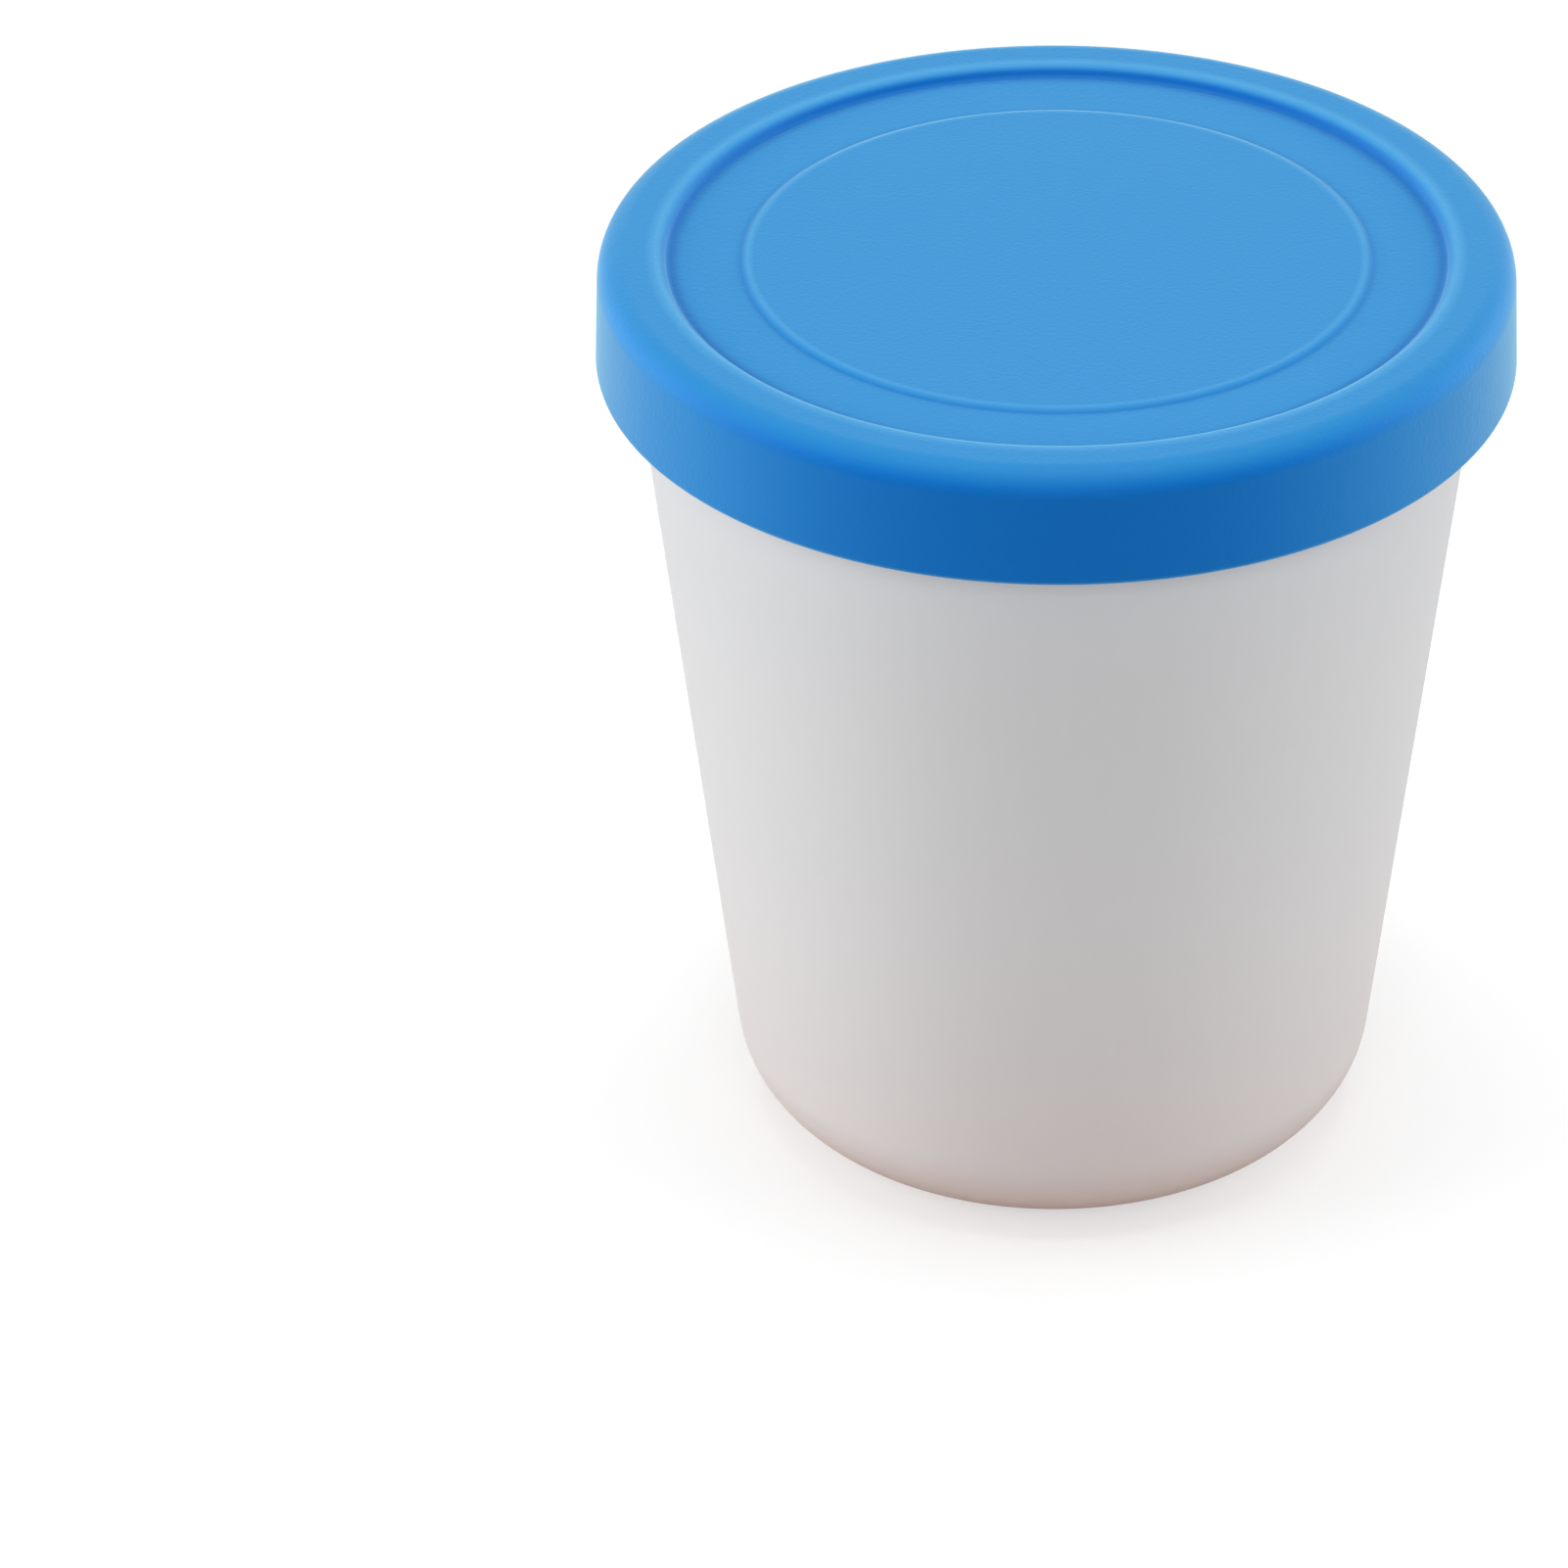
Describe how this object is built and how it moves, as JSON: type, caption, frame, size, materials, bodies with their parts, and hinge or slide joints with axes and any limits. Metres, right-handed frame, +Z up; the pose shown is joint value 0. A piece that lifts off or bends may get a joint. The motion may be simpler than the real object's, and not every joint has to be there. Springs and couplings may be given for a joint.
{
  "type": "freezer container",
  "caption": "Round tapered freezer tub with a rounded base, shut with a press-on silicone lid that has a deep skirt and a sunk top.",
  "frame": {"origin": "centre of the base, on the surface the tub stands on", "axes": "+Z up along the axis of the tub; X and Y are alike, because the part is round"},
  "size_m": [0.132, 0.132, 0.1405],
  "materials": {
    "tub_plastic": "white moulded plastic, satin matte",
    "lid_silicone": "blue moulded silicone, soft matte"
  },
  "bodies": {
    "root": {"tub": "tub_plastic", "lid": "lid_silicone"}
  },
  "joints": []
}
